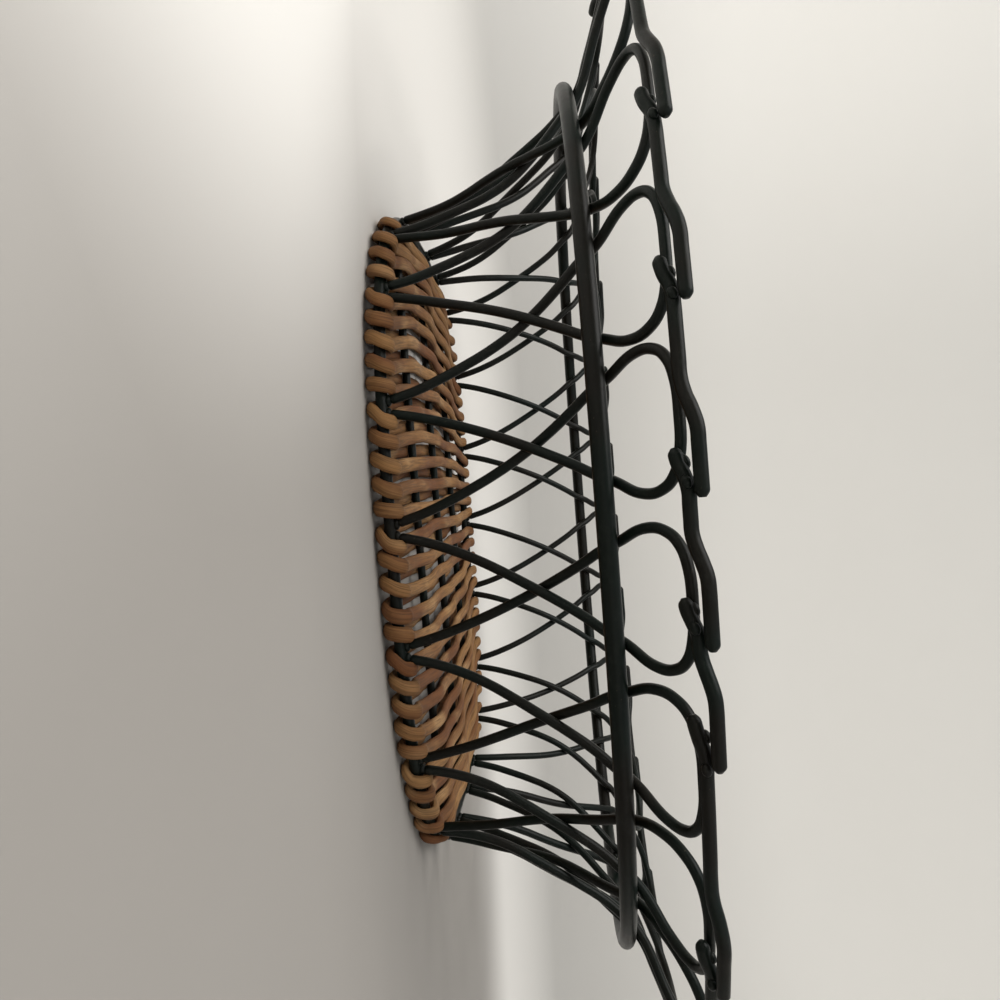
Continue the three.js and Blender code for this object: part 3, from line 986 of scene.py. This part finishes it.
ring_of = np.minimum(np.arange(len(places)) // STRAND_SIDES, len(route) - 1)
offset = places - route[ring_of]
fast_rate, slow_rate = SWELL_RATES
swell = 1 + SWELL * np.sin(strand_runs * fast_rate) * np.sin(strand_runs * slow_rate)
sideways_part = np.einsum("ij,ij->i", offset, sideways[ring_of])
wider = CANE_WIDTH / CANE_THICKNESS * swell[ring_of] - 1
widened = places + sideways[ring_of] * (sideways_part * wider)[:, None]
strand.data.vertices.foreach_set("co", widened.astype(np.float32).ravel())
sides = np.arange(len(places)) % STRAND_SIDES
angles = 2 * math.pi * sides / STRAND_SIDES
across_place = np.cos(angles) * CANE_WIDTH / 2
depth_place = np.sin(angles) * CANE_THICKNESS / 2
straight_place = np.stack([strand_runs[ring_of], across_place, depth_place], axis=1)
layer = strand.data.attributes.new("straight", "FLOAT_VECTOR", "POINT")
layer.data.foreach_set("vector", straight_place.astype(np.float32).ravel())
strand.data.update()
close_ends(strand, STRAND_SIDES)
bpy.ops.object.shade_smooth()
seat(strand, "wicker_weaver", cane)

deselect()
bpy.data.objects.remove(bead_pattern)

# %% [markdown]
# ## Floor and backdrop
#
# The basket stands on a plain pale floor. A floor that ends shows a hard line behind the object,
# so the floor curves up into a wall all round, like a dish. It is a disc whose rim is extruded
# straight up, with the corner rounded by a bevel.
#
# The picture's background is brighter in some places than in others, and the dish's colour
# follows that in painted light and shade: a painted pool of light and a painted patch of shade
# near the base, and paler paper farther off, painted paler still towards the window end.
# The far paper has a faint painted glow as well, brighter higher up the wall and towards the
# window end. It shows to the camera, in shiny surfaces and through clear ones, and lights nothing
# else.

# %% The pale dish
FLOOR_RADIUS = 1.4
FLOOR_SIDES = 96
WALL_HEIGHT = 1.3
CORNER_RADIUS = 0.6
CORNER_SEGMENTS = 24
deselect()
bpy.ops.mesh.primitive_circle_add(
    vertices=FLOOR_SIDES, radius=FLOOR_RADIUS, fill_type="NGON", location=(0, 0, 0)
)
dish = bpy.context.object
dish.name = "floor_dish"
bpy.ops.object.mode_set(mode="EDIT")
bpy.ops.mesh.select_all(action="SELECT")
bpy.ops.mesh.extrude_region_move(TRANSFORM_OT_translate={"value": (0, 0, WALL_HEIGHT)})
bpy.ops.mesh.delete(type="ONLY_FACE")
bpy.ops.mesh.select_mode(type="EDGE")
bpy.ops.object.mode_set(mode="OBJECT")
for edge in dish.data.edges:
    edge.select = all(abs(dish.data.vertices[end].co.z) < MM for end in edge.vertices)
bpy.ops.object.mode_set(mode="EDIT")
bpy.ops.mesh.bevel(offset=CORNER_RADIUS, segments=CORNER_SEGMENTS, affect="EDGES")
bpy.ops.mesh.select_all(action="SELECT")
bpy.ops.mesh.normals_make_consistent(inside=True)
bpy.ops.object.mode_set(mode="OBJECT")
bpy.ops.object.shade_smooth()

# Centres of a painted pool of light and a painted patch of shade on the dish.
LIGHT_POOL_CENTRE = (-0.15, -0.12, 0.0)
SHADE_CENTRE = (0.12, -0.1, 0.0)
# Paper tones for painted light and shade, and the colours of a painted glow.
shaded_paper = (0.33, 0.308, 0.282, 1)
lit_paper = (0.9, 0.875, 0.83, 1)
far_paper = (0.52, 0.505, 0.475, 1)
window_lit_paper = (0.72, 0.7, 0.665, 1)
low_glow = (0.08, 0.076, 0.07, 1)
high_glow = (0.35, 0.338, 0.312, 1)
window_glow = (0.1, 0.1, 0.095, 1)
white = (1, 1, 1, 1)
black = (0, 0, 0, 1)

pale = Finish("pale_paper")
where = pale.place()
lengthwise, crosswise, height = [
    pale.node("ShaderNodeSeparateXYZ", None, {0: where}, output=axis) for axis in "XYZ"
]
from_light_pool, from_shade = [
    pale.node(
        "ShaderNodeVectorMath", {"operation": "DISTANCE"}, {0: where, 1: centre}, output="Value"
    )
    for centre in (LIGHT_POOL_CENTRE, SHADE_CENTRE)
]
# Painted light mask: 1 in the pool of light, 0 in the painted shade, 0.8 far from that shade.
lit = (1 - from_light_pool.ramp(0.055, 0.145)).larger(from_shade.ramp(0.13, 0.25) * 0.8)
far_off = crosswise.ramp(0.05, 0.6)
# Painted window light: the far paper is painted paler towards the window lamp's end.
window_lit_side = 1 - lengthwise.ramp(-1.0, -0.15)
near_light_and_shade = pale.mix(lit, shaded_paper, lit_paper)
far_window_light = pale.mix(window_lit_side, far_paper, window_lit_paper)
floor_light_and_shade = pale.mix(far_off, near_light_and_shade, far_window_light)
grain = pale.noise(where, 9.0, 3.0) * 0.04
camera_ray, glossy_ray, through_ray = [
    pale.node("ShaderNodeLightPath", output=kind)
    for kind in ("Is Camera Ray", "Is Glossy Ray", "Is Transmission Ray")
]
seen = camera_ray.larger(glossy_ray).larger(through_ray)
# Painted glow on the far paper, seen by camera, glossy and transmission rays only: brighter higher
# up the wall and towards the window end.
wall_glow = pale.mix(height.ramp(-0.1, 0.45), low_glow, high_glow)
wall_glow = pale.mix(window_lit_side, wall_glow, window_glow, "ADD")
glow = pale.mix(seen * far_off, black, wall_glow)
# The base colour is painted light and shade over a faint random grain. The emission is a painted
# glow.
pale.surface(
    Base_Color=pale.mix(grain, floor_light_and_shade, white),
    Roughness=0.9,
    Emission_Color=glow,
    Emission_Strength=1.0,
)
dish.data.materials.append(pale.material)
print("dish faces:", len(dish.data.polygons))

# %% [markdown]
# ## Light
#
# The daylight in the picture is broad and soft and comes from above and from the left end of the
# basket. One large lamp gives it, a weaker one opens the shadows, and the sky light does the
# rest, at a level where a colour comes out about as it is written. No lamp shows in the picture.

# %% Lamps and sky
def lamp(name, place, aim, size, power, colour):
    deselect()
    bpy.ops.object.light_add(type="AREA", location=place)
    light = bpy.context.object
    light.name = name
    light.data.size = size
    light.data.energy = power
    light.data.color = colour
    direction = Vector(aim) - Vector(place)
    light.rotation_euler = direction.to_track_quat("-Z", "Y").to_euler()
    light.visible_camera = False


basket_middle = (0, 0, 0.03)
lamp("window", (-0.5, -0.3, 0.85), basket_middle, size=0.8, power=9.0, colour=(1.0, 0.98, 0.95))
lamp("fill", (0.4, -0.8, 0.7), basket_middle, size=1.2, power=1.8, colour=(0.95, 0.97, 1.0))
world = bpy.data.worlds.new("soft_sky")
world.use_nodes = True
sky = world.node_tree.nodes["Background"]
sky.inputs["Color"].default_value = (0.96, 0.98, 1.0, 1)
sky.inputs["Strength"].default_value = 0.45
bpy.context.scene.world = world
bpy.context.scene.view_settings.view_transform = "Standard"

# %% [markdown]
# ## The camera
#
# The photograph was taken close to the long side of the basket, a little above the base, with the
# basket turned on its end, so its height runs across the picture. The camera is rolled by a
# quarter turn to match, and the basket stays on its base.

# %% The camera
CAMERA_PLACE = np.array([-11.0, -218.4, HOOP_HEIGHT / MM - 8.8]) * MM
PICTURE_RIGHT = np.array([0.0763, 0.073, 0.9944])
PICTURE_DOWN = np.array([0.9968, -0.0289, -0.0743])

right = unit(PICTURE_RIGHT)
up = unit(-PICTURE_DOWN - right * np.dot(-PICTURE_DOWN, right))
back = np.cross(right, up)
camera_data = bpy.data.cameras.new("camera")
camera_data.lens = 27
camera_data.sensor_width = 36
camera_data.clip_start = 0.01
camera = bpy.data.objects.new("camera", camera_data)
bpy.context.scene.collection.objects.link(camera)
turned = Matrix((right, up, back)).transposed().to_4x4()
camera.matrix_world = Matrix.Translation(Vector(CAMERA_PLACE)) @ turned
bpy.context.scene.camera = camera
print("camera at", [round(float(v), 4) for v in CAMERA_PLACE])
